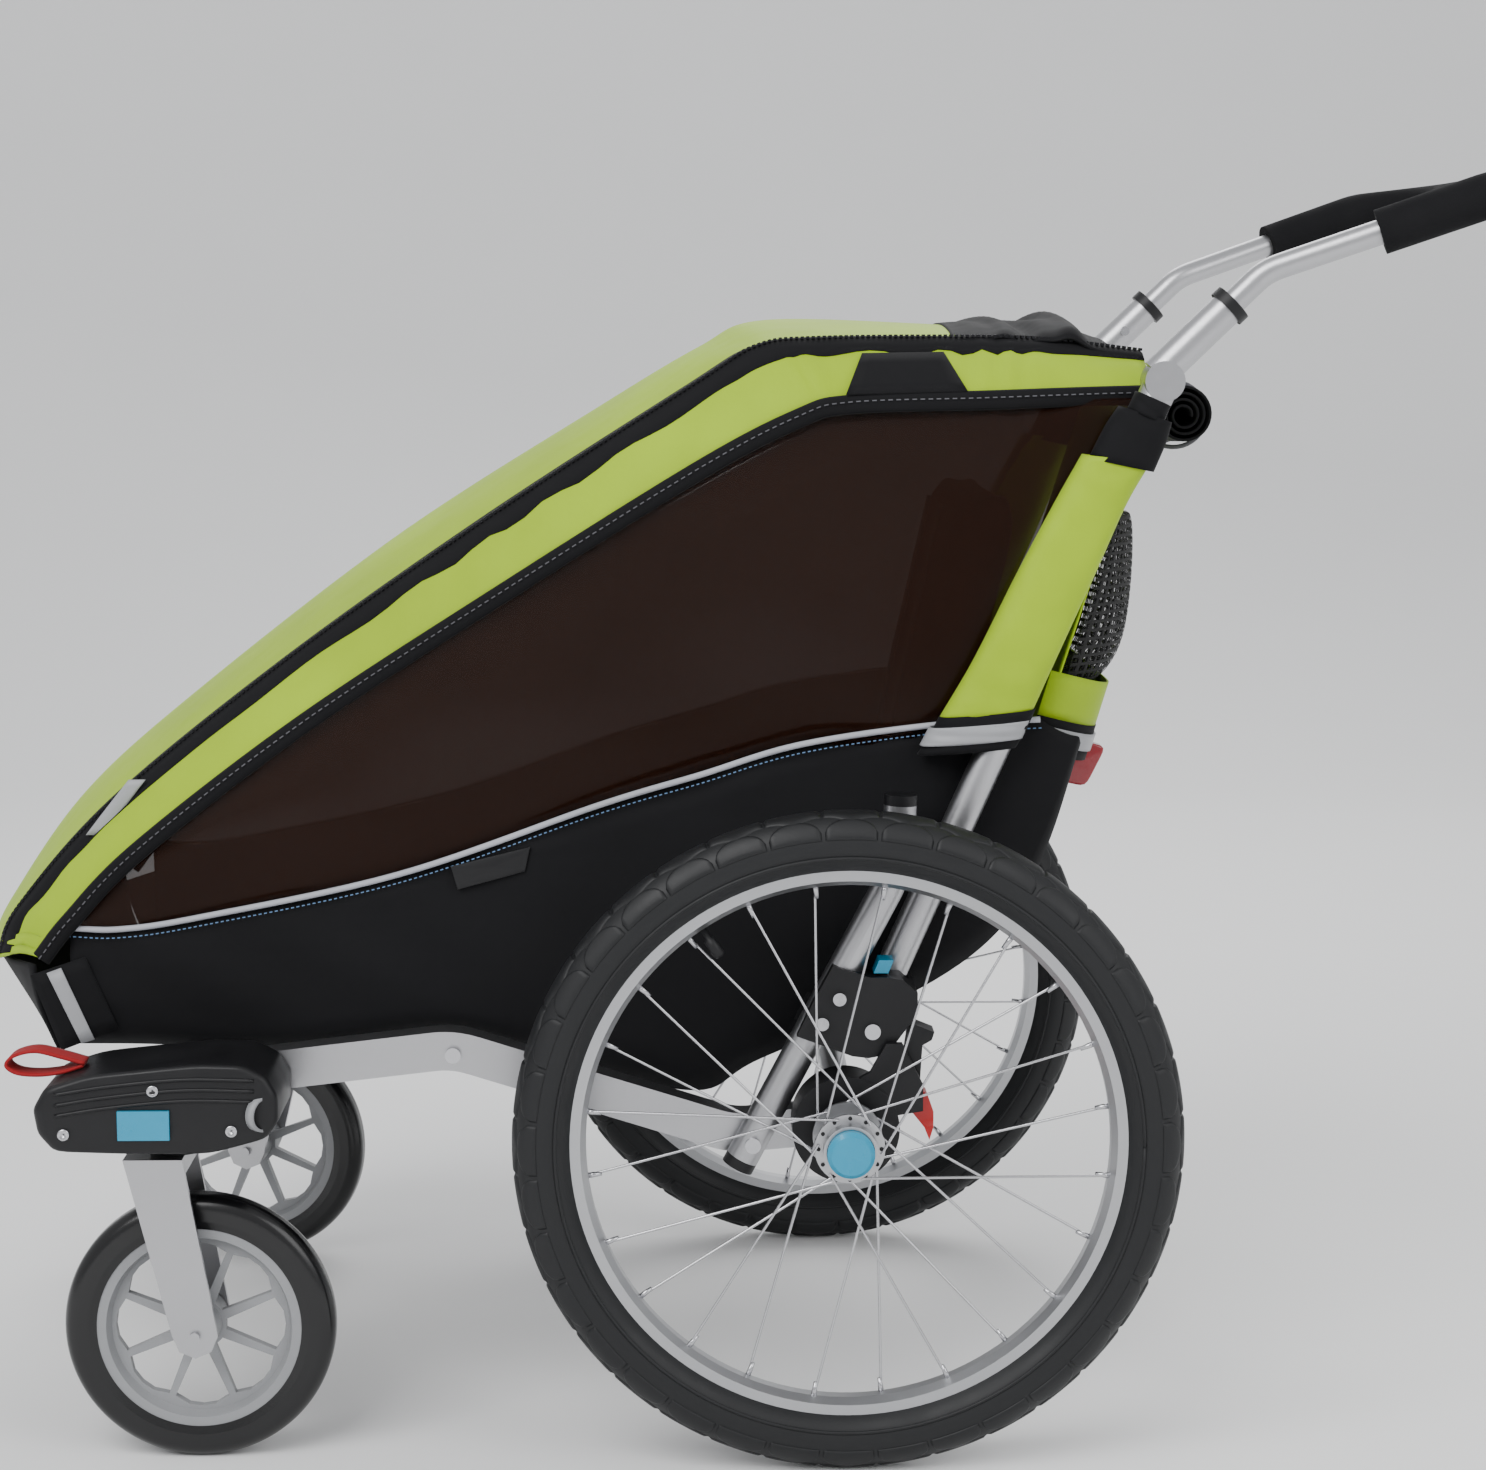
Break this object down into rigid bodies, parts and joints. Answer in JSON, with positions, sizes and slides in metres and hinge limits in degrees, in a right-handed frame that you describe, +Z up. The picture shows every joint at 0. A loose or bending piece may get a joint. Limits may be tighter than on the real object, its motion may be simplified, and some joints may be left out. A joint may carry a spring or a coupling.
{
  "type": "child bicycle trailer",
  "caption": "Folding child trailer in stroller set-up: fabric cabin with tinted side windows, spoked rear wheels, front casters and a push handle.",
  "frame": {"origin": "floor, midway along the trailer and on its middle plane", "axes": "-X is the front of travel, -Y is the trailer's left side, +Z is up"},
  "size_m": [1.246, 0.665, 0.972],
  "materials": {
    "tyre": "moulded tread",
    "aluminium": "satin anodised",
    "steel": "polished",
    "black_plastic": "fine moulded grain",
    "grey_plastic": "moulded",
    "blue_plastic": "gloss",
    "red_plastic": "gloss",
    "foam": "closed-cell foam",
    "lime_fabric": "woven, coated",
    "black_fabric": "woven",
    "webbing": "webbing",
    "window": "tinted flexible vinyl"
  },
  "bodies": {
    "chassis": {"cross_tubes": "aluminium", "tube_end_caps": "black_plastic", "frame_bolts": "steel", "cabin_tub": "black_fabric", "canopy": "lime_fabric", "side_windows": "window", "seat": "black_fabric", "seat_harness": "webbing", "harness_buckle": "black_plastic", "rear_panel": "lime_fabric", "cargo_bag": "black_fabric", "rear_reflector": "red_plastic", "rolled_cover": "black_fabric", "strap_loop": "webbing", "hub_carrier_left": "black_plastic", "side_arm_left": "aluminium", "lower_upright_left": "aluminium", "hinge_bracket_left": "black_plastic", "corner_housing_left": "black_plastic", "hub_carrier_right": "black_plastic", "side_arm_right": "aluminium", "lower_upright_right": "aluminium", "hinge_bracket_right": "black_plastic", "corner_housing_right": "black_plastic"},
    "upper_frame": {"roll_bar_left": "aluminium", "roll_bar_right": "aluminium", "handle_sleeve_left": "aluminium", "handle_sleeve_right": "aluminium", "elbow_joints": "aluminium", "sleeve_collars": "black_plastic", "pillar_sleeves": "lime_fabric"},
    "roof_hoop": {"roof_hoop": "aluminium"},
    "handle": {"handlebar": "aluminium", "foam_grips": "foam"},
    "brake": {"brake_pedal": "black_plastic", "brake_tab": "red_plastic"},
    "wheel_left": {"tyre_left": "tyre", "rim_left": "aluminium", "hub_left": "aluminium", "spokes_left": "steel"},
    "wheel_button_left": {"hub_button_left": "blue_plastic"},
    "caster_mount_left": {"caster_stem_left": "black_plastic"},
    "caster_swivel_left": {"caster_fork_left": "aluminium"},
    "caster_roller_left": {"caster_wheel_left": "grey_plastic", "caster_tyre_left": "tyre"},
    "corner_button_left": {"housing_button_left": "blue_plastic"},
    "lock_catch_left": {"lock_tab_left": "blue_plastic"},
    "handle_snap_left": {"snap_button_left": "steel"},
    "wheel_right": {"tyre_right": "tyre", "rim_right": "aluminium", "hub_right": "aluminium", "spokes_right": "steel"},
    "wheel_button_right": {"hub_button_right": "blue_plastic"},
    "caster_mount_right": {"caster_stem_right": "black_plastic"},
    "caster_swivel_right": {"caster_fork_right": "aluminium"},
    "caster_roller_right": {"caster_wheel_right": "grey_plastic", "caster_tyre_right": "tyre"},
    "corner_button_right": {"housing_button_right": "blue_plastic"},
    "lock_catch_right": {"lock_tab_right": "blue_plastic"},
    "handle_snap_right": {"snap_button_right": "steel"}
  },
  "joints": [
    {"name": "frame_fold", "type": "hinge", "parent": "chassis", "child": "upper_frame", "pos_m": [0.0785, 0, 0.324], "axis": [0, -1, 0], "range_deg": [0, 104], "deforming": ["canopy", "side_windows", "seat", "seat_harness", "harness_buckle", "rear_panel", "cargo_bag", "rolled_cover"]},
    {"name": "hoop_fold", "type": "hinge", "parent": "upper_frame", "child": "roof_hoop", "pos_m": [0.29573, 0, 0.80963], "axis": [0, -1, 0], "range_deg": [0, 70]},
    {"name": "handle_pull", "type": "slide", "parent": "upper_frame", "child": "handle", "axis": [0.7193, 0, 0.6947], "range_m": [0, 0.1]},
    {"name": "brake_rock", "type": "hinge", "parent": "chassis", "child": "brake", "pos_m": [0.1065, 0, 0.274], "axis": [0, 1, 0], "range_deg": [0, 25]},
    {"name": "wheel_spin_left", "type": "hinge", "parent": "chassis", "child": "wheel_left", "pos_m": [0.0585, -0.2925, 0.25], "axis": [0, 1, 0], "continuous": true},
    {"name": "wheel_release_left", "type": "slide", "parent": "wheel_left", "child": "wheel_button_left", "axis": [0, 1, 0], "range_m": [0, 0.004], "stiffness_N_per_m": 1500, "springref_m": -0.002},
    {"name": "caster_plug_left", "type": "slide", "parent": "chassis", "child": "caster_mount_left", "axis": [0, 0, -1], "range_m": [0, 0.045]},
    {"name": "caster_turn_left", "type": "hinge", "parent": "caster_mount_left", "child": "caster_swivel_left", "pos_m": [-0.444, -0.256, 0.23], "axis": [0, 0, 1], "continuous": true},
    {"name": "caster_roll_left", "type": "hinge", "parent": "caster_swivel_left", "child": "caster_roller_left", "pos_m": [-0.4295, -0.256, 0.102], "axis": [0, 1, 0], "continuous": true},
    {"name": "caster_release_left", "type": "slide", "parent": "chassis", "child": "corner_button_left", "axis": [0, 1, 0], "range_m": [0, 0.004], "stiffness_N_per_m": 1200, "springref_m": -0.002},
    {"name": "fold_catch_left", "type": "slide", "parent": "chassis", "child": "lock_catch_left", "axis": [0.4662, 0, 0.8847], "range_m": [0, 0.008], "stiffness_N_per_m": 400, "springref_m": -0.002},
    {"name": "snap_press_left", "type": "slide", "parent": "upper_frame", "child": "handle_snap_left", "axis": [0, -1, 0], "range_m": [0, 0.003], "stiffness_N_per_m": 800, "springref_m": -0.001},
    {"name": "wheel_spin_right", "type": "hinge", "parent": "chassis", "child": "wheel_right", "pos_m": [0.0585, 0.2925, 0.25], "axis": [0, 1, 0], "continuous": true},
    {"name": "wheel_release_right", "type": "slide", "parent": "wheel_right", "child": "wheel_button_right", "axis": [0, -1, 0], "range_m": [0, 0.004], "stiffness_N_per_m": 1500, "springref_m": -0.002},
    {"name": "caster_plug_right", "type": "slide", "parent": "chassis", "child": "caster_mount_right", "axis": [0, 0, -1], "range_m": [0, 0.045]},
    {"name": "caster_turn_right", "type": "hinge", "parent": "caster_mount_right", "child": "caster_swivel_right", "pos_m": [-0.444, 0.256, 0.23], "axis": [0, 0, 1], "continuous": true},
    {"name": "caster_roll_right", "type": "hinge", "parent": "caster_swivel_right", "child": "caster_roller_right", "pos_m": [-0.45832, 0.25827, 0.102], "axis": [-0.1564, -0.9877, 0], "continuous": true},
    {"name": "caster_release_right", "type": "slide", "parent": "chassis", "child": "corner_button_right", "axis": [0, -1, 0], "range_m": [0, 0.004], "stiffness_N_per_m": 1200, "springref_m": -0.002},
    {"name": "fold_catch_right", "type": "slide", "parent": "chassis", "child": "lock_catch_right", "axis": [0.4662, 0, 0.8847], "range_m": [0, 0.008], "stiffness_N_per_m": 400, "springref_m": -0.002},
    {"name": "snap_press_right", "type": "slide", "parent": "upper_frame", "child": "handle_snap_right", "axis": [0, 1, 0], "range_m": [0, 0.003], "stiffness_N_per_m": 800, "springref_m": -0.001}
  ],
  "couplings": [
    {"joint": "hoop_fold", "follows": "frame_fold", "ratio": 0.66}
  ]
}
